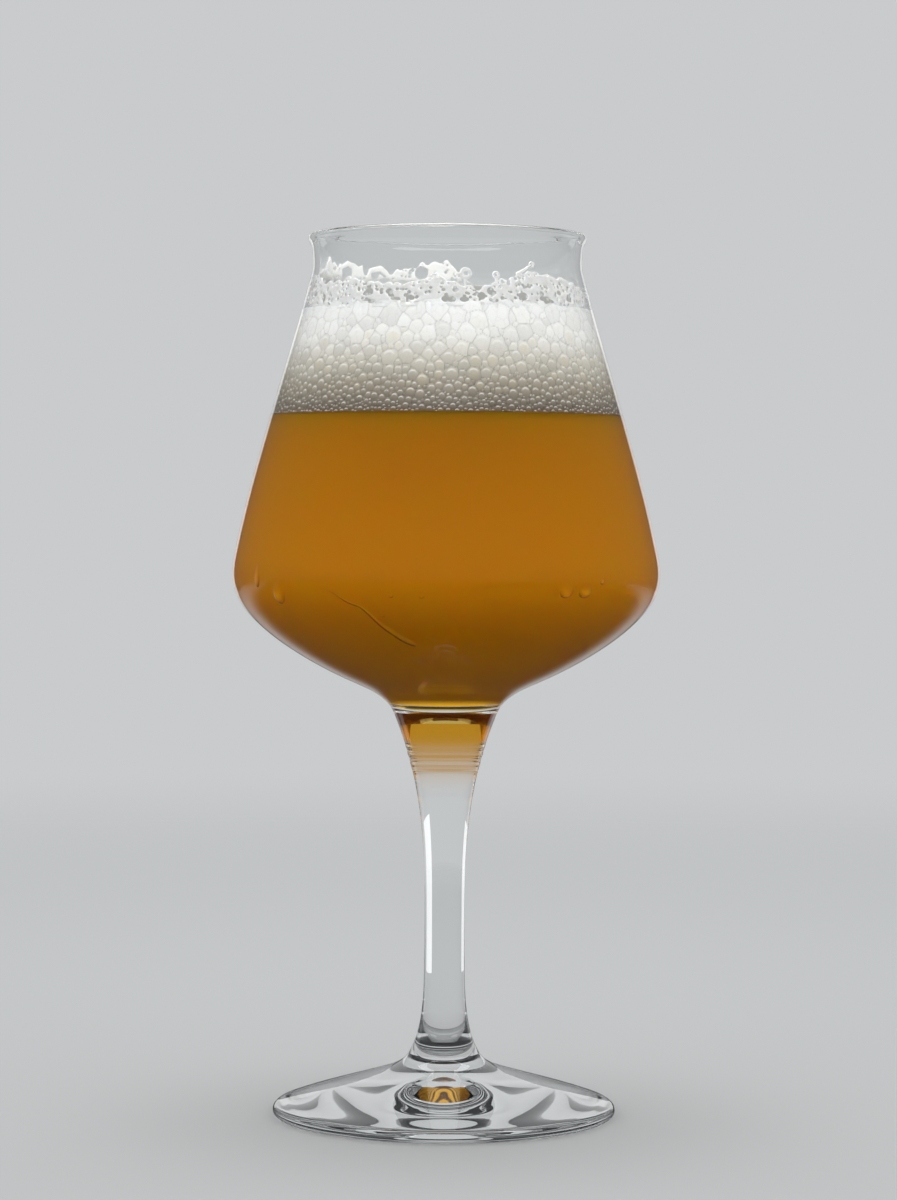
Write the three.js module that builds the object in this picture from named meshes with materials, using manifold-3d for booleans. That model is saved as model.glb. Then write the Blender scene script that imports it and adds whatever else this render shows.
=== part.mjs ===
// A poured tulip beer glass on a stem. A blown bowl, a drawn stem and a pressed foot are fused end to end,
// and the bowl holds beer, its head of foam, and the lace that the foam has left on the wall above it.
// Millimetres and degrees, +Z up. The origin is the centre of the flat ring that the foot stands on.

import * as THREE from "three";
import { mergeVertices } from "three/addons/utils/BufferGeometryUtils.js";
import Module from "manifold-3d";

const wasm = await Module();
wasm.setup();

// Foot: a low cone with a rounded edge. A hollow underneath, with a dimple below the stem, leaves it standing
// on a ring.
const FOOT_DIAMETER = 77.2;
const FOOT_HEIGHT = 13.8;
const FOOT_SLOPE = 17.3;
const FOOT_EDGE_THICKNESS = 2.4;
const FOOT_EDGE_ROUNDING = 1.8;
const FOOT_RING_WIDTH = 2.6;
const FOOT_RING_INSET = 2.2;
const FOOT_HOLLOW_RISE = 2.1;
const FOOT_DIMPLE_DIAMETER = 26;
const FOOT_DIMPLE_RISE = 1.8;
const FOOT_DIMPLE_ANGLE = 8.5;
const FOOT_FILLET_REACH = 5.4;

// Stem: a waisted rod that flares down to the foot and up to the bowl.
const STEM_LENGTH = 77;
const STEM_WAIST_DIAMETER = 9.2;
const STEM_BASE_DIAMETER = 15.8;
const STEM_BASE_ANGLE = 28.8;
const STEM_BASE_PULL = 5;
const STEM_BASE_FLARE = 19.2;
const STEM_HEAD_DIAMETER = 23.4;
const STEM_HEAD_ANGLE = 22.5;
const STEM_HEAD_PULL = 13.3;
const STEM_HEAD_FLARE = 40.8;

// Bowl: a shallow dish, a tight shouldered belly, walls that close in to a neck, and a lip that turns out.
const BOWL_HEIGHT = 107.2;
const BELLY_DIAMETER = 96.2;
const BELLY_LEVEL = 30.6;
const BELLY_PULL_DOWN = 9;
const BELLY_PULL_UP = 12;
const NECK_DIAMETER = 60.4;
const NECK_DROP = 6.5;
const NECK_PULL = 5;
const RIM_DIAMETER = 62.6;
const DISH_ANGLE = 22.9;
const DISH_PULL = 16;
const DISH_FILLET_REACH = 7.3;
const DISH_FILLET_RISE = 5.9;
const BASE_THICKNESS = 2.6;
const DISH_THICKNESS = 1.9;
const WALL_THICKNESS = 1.5;
const RIM_THICKNESS = 1.3;

// Contents: beer up to the head, the head up to the lace, and the lace as a film on the wall.
const HEAD_DROP = 17.5;
const HEAD_DEPTH = 23.5;
const CONTENTS_CLEARANCE = 0.3;
const BUBBLE_COUNT = 46;
const BUBBLE_LEAST_DIAMETER = 5;
const BUBBLE_MOST_DIAMETER = 10;
const BUBBLE_SHOWN = 0.26;
const BUBBLE_MARGIN = 0.6;
const LACE_THICKNESS = 0.8;
const LACE_HOLES = 21;
const LACE_HOLE_DIAMETER = 1.9;
const LACE_HOLE_LEVEL = 2.2;
const LACE_HOLE_SPREAD = 0.6;

// The lace's crest: the azimuth round the bowl, counted from the front to the right, and the height above
// the head.
const LACE_CREST = [
  [-165, 13.0],
  [-150, 10.4],
  [-135, 12.4],
  [-120, 11.6],
  [-105, 12.8],
  [-90, 9.2],
  [-75, 8.4],
  [-60, 5.6],
  [-40, 6.6],
  [-28, 4.7],
  [-14, 5.2],
  [-5, 7.0],
  [6, 4.3],
  [15, 3.6],
  [24, 6.6],
  [38, 7.6],
  [56, 7.0],
  [74, 4.9],
  [90, 6.3],
  [110, 8.6],
  [130, 9.4],
  [150, 8.2],
  [172, 11.2],
  [182, 14.0],
];

// Facets round the axis, and along the lace's circumference and height.
const ROUND_SEGMENTS = 40;
const LACE_SEGMENTS = 80;
const LACE_ROWS = 5;
const BUBBLE_SEGMENTS = 9;
const BUBBLE_RINGS = 6;
const HOLE_SIDES = 7;

const FULL_TURN = 2 * Math.PI;
const GOLDEN_ANGLE = Math.PI * (3 - Math.sqrt(5));
const radians = THREE.MathUtils.degToRad;
const point = (r, z) => new THREE.Vector2(r, z);

// Heights in the bowl's own frame, which starts at the plane where the bowl is fused to the stem.
const headTop = BOWL_HEIGHT - HEAD_DROP;
const beerLevel = headTop - HEAD_DEPTH;

/** The point that lies a given way from another, along an angle measured up from the radius. */
function along(from, angle, distance) {
  return point(from.x + distance * Math.cos(angle), from.y + distance * Math.sin(angle));
}

/** Where the line through p at one angle meets the line through q at another. */
function meet(p, pAngle, q, qAngle) {
  const across = Math.sin(qAngle - pAngle);
  const distance = ((q.x - p.x) * Math.sin(qAngle) - (q.y - p.y) * Math.cos(qAngle)) / across;
  return along(p, pAngle, distance);
}

/** Points along a run of joined curves, each given with its number of steps. */
function trace(runs) {
  const points = [runs[0][0].getPoint(0)];
  for (const [curve, steps] of runs) points.push(...curve.getPoints(steps).slice(1));
  return points;
}

/** A profile moved sideways to its left, by a distance that may change from point to point. */
function offset(points, distanceAt) {
  return points.map((p, i) => {
    const before = points[Math.max(i - 1, 0)];
    const after = points[Math.min(i + 1, points.length - 1)];
    const way = after.clone().sub(before).normalize();
    const distance = distanceAt(i);
    return point(p.x - way.y * distance, p.y + way.x * distance);
  });
}

/** The radius of a rising profile at a height. */
function radiusAt(profile, height) {
  const i = Math.max(1, profile.findIndex((p) => p.y >= height));
  const [low, high] = [profile[i - 1], profile[i]];
  return THREE.MathUtils.mapLinear(height, low.y, high.y, low.x, high.x);
}

/** The stretch of a rising profile between two heights. */
function between(profile, low, high) {
  const inside = profile.filter((p) => p.y > low && p.y < high);
  return [point(radiusAt(profile, low), low), ...inside, point(radiusAt(profile, high), high)];
}

/** A profile of radii and heights, turned round the Z axis. */
function turned(profile) {
  return new THREE.LatheGeometry(profile, ROUND_SEGMENTS).rotateX(Math.PI / 2);
}

/** A closed geometry as a solid that can be joined and cut. */
function solid(geometry) {
  const bare = geometry.clone();
  bare.deleteAttribute("normal");
  bare.deleteAttribute("uv");
  const merged = mergeVertices(bare);
  return new wasm.Manifold(
    new wasm.Mesh({
      numProp: 3,
      vertProperties: merged.attributes.position.array,
      triVerts: new Uint32Array(merged.index.array),
    }),
  );
}

/** A joined or cut solid as a geometry with flat facets. */
function geometryOf(made) {
  const { vertProperties, triVerts } = made.getMesh();
  const geometry = new THREE.BufferGeometry();
  geometry.setAttribute("position", new THREE.BufferAttribute(vertProperties, 3));
  geometry.setIndex(new THREE.BufferAttribute(triVerts, 1));
  geometry.computeVertexNormals();
  return geometry;
}

function footProfile() {
  const edge = FOOT_DIAMETER / 2;
  const slope = radians(FOOT_SLOPE);
  const lean = radians(FOOT_DIMPLE_ANGLE);
  const ringOuter = point(edge - FOOT_RING_INSET, 0);
  const ringInner = point(ringOuter.x - FOOT_RING_WIDTH, 0);
  const dimple = point(FOOT_DIMPLE_DIAMETER / 2, FOOT_HOLLOW_RISE);
  const crown = point(0, FOOT_HOLLOW_RISE + FOOT_DIMPLE_RISE);
  const crownPull = point(dimple.x / 5, crown.y);
  const dimpleIn = along(dimple, Math.PI - lean, dimple.x / 2);
  const dimpleOut = along(dimple, -lean, dimple.x / 2);
  const edgeFoot = point(edge, 0);
  const edgeMiddle = point(edge, FOOT_EDGE_THICKNESS / 2);
  const edgeTop = point(edge, FOOT_EDGE_THICKNESS);
  const coneStart = along(edgeTop, Math.PI - slope, FOOT_EDGE_ROUNDING);
  const joint = point(STEM_BASE_DIAMETER / 2, FOOT_HEIGHT);
  const fillet = meet(edgeTop, Math.PI - slope, joint, radians(90 + STEM_BASE_ANGLE));
  const coneEnd = along(fillet, -slope, FOOT_FILLET_REACH);
  return [
    ...trace([
      [new THREE.CubicBezierCurve(crown, crownPull, dimpleIn, dimple), 5],
      [new THREE.QuadraticBezierCurve(dimple, dimpleOut, ringInner), 4],
      [new THREE.LineCurve(ringInner, ringOuter), 1],
      [new THREE.QuadraticBezierCurve(ringOuter, edgeFoot, edgeMiddle), 3],
      [new THREE.QuadraticBezierCurve(edgeMiddle, edgeTop, coneStart), 3],
      [new THREE.LineCurve(coneStart, coneEnd), 1],
      [new THREE.QuadraticBezierCurve(coneEnd, fillet, joint), 4],
    ]),
    point(0, FOOT_HEIGHT),
  ];
}

function stemProfile() {
  const base = point(STEM_BASE_DIAMETER / 2, 0);
  const low = point(STEM_WAIST_DIAMETER / 2, STEM_BASE_FLARE);
  const high = point(STEM_WAIST_DIAMETER / 2, STEM_LENGTH - STEM_HEAD_FLARE);
  const head = point(STEM_HEAD_DIAMETER / 2, STEM_LENGTH);
  const basePull = along(base, radians(90 + STEM_BASE_ANGLE), STEM_BASE_PULL);
  const headPull = along(head, radians(270 - STEM_HEAD_ANGLE), STEM_HEAD_PULL);
  const lowPull = point(low.x, low.y - STEM_BASE_FLARE / 2);
  const highPull = point(high.x, high.y + STEM_HEAD_FLARE / 2.5);
  return [
    point(0, 0),
    ...trace([
      [new THREE.CubicBezierCurve(base, basePull, lowPull, low), 5],
      [new THREE.LineCurve(low, high), 1],
      [new THREE.CubicBezierCurve(high, highPull, headPull, head), 7],
    ]),
    point(0, STEM_LENGTH),
  ];
}

/** The bowl's outer wall in four stretches: the fillet out of the stem, the dish, the wall and the lip. */
function bowlOutside() {
  const joint = point(STEM_HEAD_DIAMETER / 2, 0);
  const dish = point(joint.x + DISH_FILLET_REACH, DISH_FILLET_RISE);
  const belly = point(BELLY_DIAMETER / 2, BELLY_LEVEL);
  const neck = point(NECK_DIAMETER / 2, BOWL_HEIGHT - NECK_DROP);
  const lip = point(RIM_DIAMETER / 2, BOWL_HEIGHT - RIM_THICKNESS / 2);
  const fillet = meet(joint, radians(90 - STEM_HEAD_ANGLE), dish, radians(DISH_ANGLE));
  const dishPull = along(dish, radians(DISH_ANGLE), DISH_PULL);
  const bellyDown = point(belly.x, belly.y - BELLY_PULL_DOWN);
  const bellyUp = point(belly.x, belly.y + BELLY_PULL_UP);
  const neckDown = point(neck.x, neck.y - NECK_PULL);
  const lipPull = point(neck.x, THREE.MathUtils.lerp(neck.y, lip.y, 2 / 3));
  return {
    root: trace([[new THREE.QuadraticBezierCurve(joint, fillet, dish), 4]]),
    dish: trace([[new THREE.CubicBezierCurve(dish, dishPull, bellyDown, belly), 8]]),
    wall: trace([[new THREE.CubicBezierCurve(belly, bellyUp, neckDown, neck), 8]]),
    lip: trace([[new THREE.QuadraticBezierCurve(neck, lipPull, lip), 3]]),
  };
}

/** The bowl's inner wall, rising from the middle of its floor to its lip. */
function bowlInside(outside) {
  const outer = [...outside.dish, ...outside.wall.slice(1), ...outside.lip.slice(1)];
  const bellyAt = outside.dish.length - 1;
  const neckAt = bellyAt + outside.wall.length - 1;
  const lipAt = outer.length - 1;
  const thickness = (i) => {
    if (i < bellyAt) return THREE.MathUtils.mapLinear(i, 0, bellyAt, DISH_THICKNESS, WALL_THICKNESS);
    if (i < neckAt) return WALL_THICKNESS;
    return THREE.MathUtils.mapLinear(i, neckAt, lipAt, WALL_THICKNESS, RIM_THICKNESS);
  };
  const wall = offset(outer, thickness);
  wall[lipAt] = point(RIM_DIAMETER / 2 - RIM_THICKNESS, outer[lipAt].y);
  const middle = point(0, BASE_THICKNESS);
  const corner = meet(middle, 0, wall[0], radians(DISH_ANGLE));
  const floor = trace([[new THREE.CubicBezierCurve(middle, corner, corner, wall[0]), 5]]);
  return [...floor, ...wall.slice(1)];
}

function bowlProfile(outside, inside) {
  const rimRadius = RIM_THICKNESS / 2;
  const rim = new THREE.EllipseCurve(
    RIM_DIAMETER / 2 - rimRadius, BOWL_HEIGHT - rimRadius, rimRadius, rimRadius, 0, Math.PI,
  );
  return [
    point(0, 0),
    ...outside.root,
    ...outside.dish.slice(1),
    ...outside.wall.slice(1),
    ...outside.lip.slice(1),
    ...rim.getPoints(4).slice(1, -1),
    ...inside.toReversed(),
  ];
}

function beerProfile(wetWall) {
  const side = between(wetWall, wetWall[0].y, beerLevel);
  return [...side, point(0, beerLevel)];
}

/** The head: a plug of foam that follows the wall, with the domes of the largest bubbles on its top. */
function foamHead(wetWall) {
  const plug = turned([
    point(0, beerLevel),
    ...between(wetWall, beerLevel, headTop),
    point(0, headTop),
  ]);
  const most = BUBBLE_MOST_DIAMETER / 2;
  const reach = radiusAt(wetWall, headTop) - LACE_THICKNESS - BUBBLE_MARGIN - most;
  let foam = solid(plug);
  for (let i = 0; i < BUBBLE_COUNT; i++) {
    const way = i * GOLDEN_ANGLE;
    const distance = reach * Math.sqrt((i + 0.5) / BUBBLE_COUNT);
    const size = 0.5 + 0.5 * Math.sin(5 * way);
    const radius = THREE.MathUtils.lerp(BUBBLE_LEAST_DIAMETER, BUBBLE_MOST_DIAMETER, size) / 2;
    const sunk = radius * (1 - 2 * BUBBLE_SHOWN);
    const bubble = new THREE.SphereGeometry(radius, BUBBLE_SEGMENTS, BUBBLE_RINGS)
      .rotateX(Math.PI / 2)
      .rotateZ(way)
      .translate(distance * Math.cos(way), distance * Math.sin(way), headTop - sunk);
    foam = foam.add(solid(bubble));
  }
  return geometryOf(foam);
}

/** The crest's height above the head at an azimuth in radians, smooth through the chosen points. */
function crestHeight() {
  const turns = [-1, 0, 1].flatMap((turn) => LACE_CREST.map(([way, rise]) => [way + 360 * turn, rise]));
  return (azimuth) => {
    const way = THREE.MathUtils.radToDeg(azimuth);
    const next = turns.findIndex(([at]) => at > way);
    const [[startWay, start], [endWay, end]] = [turns[next - 1], turns[next]];
    return THREE.MathUtils.lerp(start, end, THREE.MathUtils.smoothstep(way, startWay, endWay));
  };
}

/** A place on the bowl, by its azimuth from the front to the right, its radius and its height. */
function place(azimuth, radius, height) {
  return new THREE.Vector3(radius * Math.sin(azimuth), -radius * Math.cos(azimuth), height);
}

/** The lace: a film on the wall above the head, with a ragged crest and holes where bubbles have burst. */
function foamLace(wetWall) {
  const crest = crestHeight();
  const positions = [];
  for (let k = 0; k < LACE_SEGMENTS; k++) {
    const azimuth = (k / LACE_SEGMENTS) * FULL_TURN - Math.PI;
    for (const depth of [0, LACE_THICKNESS]) {
      for (let row = 0; row <= LACE_ROWS; row++) {
        const height = headTop + (row / LACE_ROWS) * crest(azimuth);
        positions.push(...place(azimuth, radiusAt(wetWall, height) - depth, height));
      }
    }
  }
  const column = 2 * (LACE_ROWS + 1);
  const ring = [];
  for (let row = 0; row <= LACE_ROWS; row++) ring.push(row);
  for (let row = LACE_ROWS; row >= 0; row--) ring.push(LACE_ROWS + 1 + row);
  const index = [];
  for (let k = 0; k < LACE_SEGMENTS; k++) {
    const [here, there] = [k * column, ((k + 1) % LACE_SEGMENTS) * column];
    ring.forEach((a, i) => {
      const b = ring[(i + 1) % ring.length];
      index.push(here + a, there + a, there + b, here + a, there + b, here + b);
    });
  }
  const film = new THREE.BufferGeometry();
  film.setAttribute("position", new THREE.Float32BufferAttribute(positions, 3));
  film.setIndex(index);
  let lace = solid(film);
  const outward = new THREE.Vector3(0, 1, 0);
  for (let i = 0; i < LACE_HOLES; i++) {
    const azimuth = ((i * GOLDEN_ANGLE) % FULL_TURN) - Math.PI;
    const height = headTop + LACE_HOLE_LEVEL + LACE_HOLE_SPREAD * Math.sin(3 * i);
    const radius = (LACE_HOLE_DIAMETER / 2) * (0.75 + 0.25 * Math.cos(2 * i));
    const centre = place(azimuth, radiusAt(wetWall, height) - LACE_THICKNESS / 2, height);
    const away = centre.clone().setZ(0).normalize();
    const hole = new THREE.CylinderGeometry(radius, radius, 4 * LACE_THICKNESS, HOLE_SIDES)
      .applyQuaternion(new THREE.Quaternion().setFromUnitVectors(outward, away))
      .translate(...centre);
    lace = lace.subtract(solid(hole));
  }
  return geometryOf(lace);
}

function piece(name, geometry, material) {
  const mesh = new THREE.Mesh(geometry, material);
  mesh.name = name;
  return mesh;
}

const glass = new THREE.MeshStandardMaterial({
  name: "crystal glass", color: 0xe6ecec, roughness: 0.03, metalness: 0, transparent: true, opacity: 0.3,
});
const lager = new THREE.MeshStandardMaterial({
  name: "amber beer", color: 0xc27a08, roughness: 0.08, metalness: 0, transparent: true, opacity: 0.85,
});
const froth = new THREE.MeshStandardMaterial({
  name: "beer foam", color: 0xf1ede2, roughness: 0.75, metalness: 0,
});

const outside = bowlOutside();
const inside = bowlInside(outside);
const wetWall = offset(inside, () => CONTENTS_CLEARANCE);
wetWall[0] = point(0, BASE_THICKNESS + CONTENTS_CLEARANCE);

const foot = piece("foot", turned(footProfile()), glass);
const stem = piece("stem", turned(stemProfile()), glass);
stem.position.z = FOOT_HEIGHT;

const cup = new THREE.Group();
cup.position.z = FOOT_HEIGHT + STEM_LENGTH;
cup.add(piece("bowl", turned(bowlProfile(outside, inside)), glass));
cup.add(piece("beer", turned(beerProfile(wetWall)), lager));
cup.add(piece("foam_head", foamHead(wetWall), froth));
cup.add(piece("foam_lace", foamLace(wetWall), froth));

const tulipGlass = new THREE.Group();
tulipGlass.add(foot, stem, cup);

export default tulipGlass;
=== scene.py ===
"""A poured tulip beer glass: clear drawn glass, hazy amber beer, a head of foam and the lace above it."""

import math

import bpy
import numpy as np
from mathutils import Matrix, Vector


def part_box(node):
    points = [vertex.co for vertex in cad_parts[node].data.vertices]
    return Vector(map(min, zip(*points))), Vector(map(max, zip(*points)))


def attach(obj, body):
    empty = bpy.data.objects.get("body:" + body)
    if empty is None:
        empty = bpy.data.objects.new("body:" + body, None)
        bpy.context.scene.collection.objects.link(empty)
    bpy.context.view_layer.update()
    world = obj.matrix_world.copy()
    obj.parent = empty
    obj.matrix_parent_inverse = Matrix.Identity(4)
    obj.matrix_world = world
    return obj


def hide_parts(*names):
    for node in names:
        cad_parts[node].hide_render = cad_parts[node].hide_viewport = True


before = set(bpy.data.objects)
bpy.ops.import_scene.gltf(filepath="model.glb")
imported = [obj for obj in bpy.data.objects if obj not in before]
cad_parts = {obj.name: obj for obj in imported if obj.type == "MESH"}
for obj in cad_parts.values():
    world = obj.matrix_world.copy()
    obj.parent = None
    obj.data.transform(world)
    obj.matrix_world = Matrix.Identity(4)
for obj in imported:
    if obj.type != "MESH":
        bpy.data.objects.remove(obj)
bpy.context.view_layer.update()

MM = 0.001
FULL_TURN = 2 * math.pi
random = np.random.default_rng(7)

# The photograph's frame, and where the eye level and the glass's axis lie in it, in its pixels.
PHOTO_WIDTH, PHOTO_HEIGHT = 897, 1200
EYE_LEVEL_ROW = 531
AXIS_COLUMN = 446
FOCAL_LENGTH_PIXELS = 3284
CAMERA_DISTANCE = 740 * MM
EYE_HEIGHT = 131.6 * MM
CAMERA_ROLL = math.radians(0.26)

# Facets of the fine surfaces.
GLASS_SEGMENTS = 240
GLASS_STEPS = 7
FOAM_COLUMNS = 1280
FOAM_ROW = (0.12 * MM, 0.25 * MM)
TOP_ROW = 0.3 * MM
LACE_ROW = 0.14 * MM

# The stem was drawn from the bowl: faint rings mark where it necked down, given by height and strength.
WELD_RINGS = ((83.0 * MM, 0.6), (81.2 * MM, 1.0), (79.0 * MM, 0.8), (78.2 * MM, 0.5))
WELD_RING_HEIGHT = 0.12 * MM
WELD_RING_WIDTH = 0.45 * MM
STEM_ROW = 0.2 * MM

# The heights between which a painted amber glow, standing in for the light that the glass leads down from the
# beer, fades in, in the stem's head.
LED_LIGHT_HEIGHTS = (73 * MM, 87 * MM)

# Foam: the bubbles that press on the glass grow from the beer up to the top of the head. Between two sizes
# they turn from round beads into flat cells.
CONTENTS_GAP = 0.3 * MM
SMALLEST_BUBBLE = 1.0 * MM
LARGEST_BUBBLE = 4.4 * MM
BUBBLE_TRIES = 30000
LEAST_ROOM = 0.8
FAR_AWAY = 10 * MM
PRESSED_FROM, PRESSED_AT = 1.4 * MM, 2.8 * MM
CELL_GROOVE = 0.1 * MM
CRESCENT_AT, CRESCENT_WIDTH = 0.26, 0.13
STAINED_SHARE = 0.15
HIDDEN_BUBBLE = 0.55
TOP_BUBBLE = 5.0 * MM
TOP_BORDER = 0.35 * MM
TOP_TRIES = 5000
TOP_RISE = TOP_DIP = 1.6 * MM

head_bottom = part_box("foam_head")[0].z
head_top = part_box("foam_lace")[0].z
lace_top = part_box("foam_lace")[1].z


def linear(colour):
    """An sRGB hex colour as linear red, green, blue and alpha."""
    channels = [int(colour[i:i + 2], 16) / 255 for i in (1, 3, 5)]
    return (*[c / 12.92 if c <= 0.04045 else ((c + 0.055) / 1.055) ** 2.4 for c in channels], 1.0)


def add_node(tree, kind, inputs=None, **settings):
    """Adds a node. Settings are its own properties. An input is a plain value or another node's output."""
    node = tree.nodes.new("ShaderNode" + kind)
    for name, value in settings.items():
        setattr(node, name, value)
    for name, value in (inputs or {}).items():
        if isinstance(value, bpy.types.NodeSocket):
            tree.links.new(value, node.inputs[name])
        else:
            node.inputs[name].default_value = value
    return node


def new_material(name):
    """An empty material and its node tree."""
    material = bpy.data.materials.new(name)
    material.use_nodes = True
    material.node_tree.nodes.clear()
    return material, material.node_tree


# Outlines of the turned pieces, read from the frame.


def meridian(node):
    """A turned node's outline on its front: rows of radius and height, from its lowest point on the axis.

    Points are matched on a fine grid, so that a point of two faces counts as one.
    """
    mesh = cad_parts[node].data
    grain = 0.01 * MM
    keys = [tuple(round(c / grain) for c in v.co) for v in mesh.vertices]
    beside = {}
    for face in mesh.polygons:
        corners = list(face.vertices)
        for a, b in zip(corners, corners[1:] + corners[:1]):
            a, b = keys[a], keys[b]
            if a != b and all(abs(k[0]) <= 1 and k[1] <= 0 for k in (a, b)):
                beside.setdefault(a[1:], set()).add(b[1:])
                beside.setdefault(b[1:], set()).add(a[1:])
    here = min((k for k in beside if k[0] == 0), key=lambda k: k[1])
    outline = [here]
    while True:
        ways = [k for k in beside[here] if k not in outline]
        if not ways:
            break
        here = ways[0]
        outline.append(here)
    return np.array([(-y, z) for y, z in outline]) * grain


def spline(points, steps):
    """A smooth curve through points, with a number of steps from each one to the next."""
    chord = np.linalg.norm(np.diff(points, axis=0), axis=1)
    count = len(points)
    system = np.eye(count)
    slopes = np.zeros((count, 2))
    for i in range(1, count - 1):
        system[i, i - 1:i + 2] = chord[i - 1], 2 * (chord[i - 1] + chord[i]), chord[i]
        before, after = points[i] - points[i - 1], points[i + 1] - points[i]
        slopes[i] = 6 * (after / chord[i] - before / chord[i - 1])
    bend = np.linalg.solve(system, slopes)
    curve = []
    for i in range(count - 1):
        for t in np.arange(steps) / steps * chord[i]:
            u = chord[i] - t
            curve.append(
                (bend[i] * u**3 + bend[i + 1] * t**3) / (6 * chord[i])
                + (points[i] / chord[i] - bend[i] * chord[i] / 6) * u
                + (points[i + 1] / chord[i] - bend[i + 1] * chord[i] / 6) * t
            )
    return np.array(curve + [points[-1]])


def fine_outline(node):
    """A turned node's outline with its curves made smooth, and the rows where a flat end meets its side."""
    points = meridian(node)
    start = 1 if points[0, 1] == points[1, 1] else 0
    stop = len(points) - (1 if points[-1, 1] == points[-2, 1] else 0)
    run = points[start:stop]
    mirror = np.array([-1, 1])
    lead = run[2:0:-1] * mirror if start == 0 else run[:0]
    tail = run[-2:-4:-1] * mirror if stop == len(points) else run[:0]
    curve = spline(np.concatenate([lead, run, tail]), GLASS_STEPS)
    curve = curve[len(lead) * GLASS_STEPS:len(curve) - len(tail) * GLASS_STEPS]
    outline = np.concatenate([points[:start], curve, points[stop:]])
    corners = ([start] if start else []) + ([len(outline) - 2] if stop < len(points) else [])
    outline[[0, -1], 0] = 0
    return np.maximum(outline, 0), corners


bowl_outline, bowl_corners = fine_outline("bowl")
rim_row = int(np.argmax(bowl_outline[:, 1]))
outer_wall = bowl_outline[1:rim_row + 1]
inner_wall = bowl_outline[:rim_row - 1:-1]


def wall_radius(height, wall=inner_wall):
    """The radius of the bowl's inner or outer wall at a height."""
    return np.interp(height, wall[:, 1], wall[:, 0])


# Meshes.


def ring(radius, height, count):
    """Points round the axis, counted from the front to the right."""
    azimuth = np.arange(count) / count * FULL_TURN
    return np.stack([radius * np.sin(azimuth), -radius * np.cos(azimuth), np.full(count, height)], axis=1)


def turned_rings(outline):
    """Rings of points along a turned outline, with single points on the axis."""
    return [ring(r, z, GLASS_SEGMENTS if r > 0 else 1) for r, z in outline]


def skin(name, rings, materials, band_material=None, corners=()):
    """A mesh over rings of points. The next ring has as many points, twice or half as many, or one."""
    starts = np.concatenate([[0], np.cumsum([len(r) for r in rings])])
    faces, bands = [], []
    for band in range(len(rings) - 1):
        low, high = len(rings[band]), len(rings[band + 1])
        many = max(low, high)
        k = np.arange(many)
        after = (k + 1) % many
        a, b = starts[band] + k * low // many, starts[band] + after * low // many
        c, d = starts[band + 1] + after * high // many, starts[band + 1] + k * high // many
        made = np.stack([a, b, c, d], axis=1).tolist()
        if low != high:
            made = [list(dict.fromkeys(face)) for face in made]
        faces += made
        bands += [band] * len(made)
    mesh = bpy.data.meshes.new(name)
    mesh.from_pydata(np.concatenate(rings).tolist(), [], faces)
    for material in materials:
        mesh.materials.append(material)
    if band_material is not None:
        mesh.polygons.foreach_set("material_index", [int(band_material[band]) for band in bands])
    mesh.shade_smooth()
    if len(corners):
        ring_of = np.repeat(np.arange(len(rings)), [len(r) for r in rings])
        ends = np.empty(2 * len(mesh.edges), np.int32)
        mesh.edges.foreach_get("vertices", ends)
        ends = ring_of[ends.reshape(-1, 2)]
        sharp = mesh.attributes.new("sharp_edge", "BOOLEAN", "EDGE")
        sharp.data.foreach_set("value", (ends[:, 0] == ends[:, 1]) & np.isin(ends[:, 0], corners))
    return mesh


def paint(mesh, **values):
    """Gives the points of a mesh named values from 0 to 1, which its material reads."""
    for name, value in values.items():
        layer = mesh.attributes.new(name, "FLOAT", "POINT")
        layer.data.foreach_set("value", np.asarray(value, np.float32))


def place(mesh, slot, *nodes):
    """Puts a piece in the scene: it rides on the glass and stands for CAD nodes. The slot is not used."""
    piece = bpy.data.objects.new(mesh.name, mesh)
    bpy.context.scene.collection.objects.link(piece)
    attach(piece, "root")
    if nodes:
        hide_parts(*nodes)
    return piece


# Materials.

GLASS_WAVE = 18 * MM
GLASS_WAVE_HEIGHT = 0.015 * MM
GLASS_IOR, BEER_IOR = 1.5, 1.34
# How far under the head the beer's painted shade reaches.
HEAD_SHADE_DEPTH = 35 * MM
# Painted glow at the beer's floor: its emission's strength, and the rises over which it fades out.
FLOOR_GLOW = 0.6
FLOOR_GLOW_RISE = (0.4 * MM, 2.0 * MM)
DROP_GLOW = 0.16


def clear_glass(name, ior):
    """Crystal glass, drawn and fire polished: colourless and mirror smooth, seen by its bends and glints.

    Fire polish leaves long shallow waves. Lamps shine through it, a little dimmed, to reach what it holds.
    Where its points say so, in the stem's head and its rings, an amber tint is painted in as a glow, for the
    light that it leads down from the beer.
    """
    material, tree = new_material(name)
    place_of = add_node(tree, "TexCoord")
    waves = add_node(tree, "TexNoise", {
        "Vector": place_of.outputs["Object"], "Scale": 1 / GLASS_WAVE, "Detail": 0.0,
    })
    waved = add_node(tree, "Bump", {"Height": waves.outputs[0], "Distance": GLASS_WAVE_HEIGHT})
    # Painted glow: an amber tint where the points carry led light.
    led = add_node(tree, "Attribute", attribute_name="led_light")
    tone = add_node(tree, "Mix", {
        0: led.outputs["Fac"], 6: linear("#fbfcfc"), 7: linear("#e2a52c"),
    }, data_type="RGBA")
    glass = add_node(tree, "BsdfPrincipled", {
        "Base Color": tone.outputs[2], "Roughness": 0.0, "IOR": ior, "Transmission Weight": 1.0,
        "Normal": waved.outputs[0],
    })
    lamp_way = add_node(tree, "BsdfTransparent", {"Color": linear("#f6f6f6")})
    rays = add_node(tree, "LightPath")
    surface = add_node(tree, "MixShader", {
        0: rays.outputs["Is Shadow Ray"], 1: glass.outputs[0], 2: lamp_way.outputs[0],
    })
    add_node(tree, "OutputMaterial", {"Surface": surface.outputs[0]})
    return material


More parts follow.
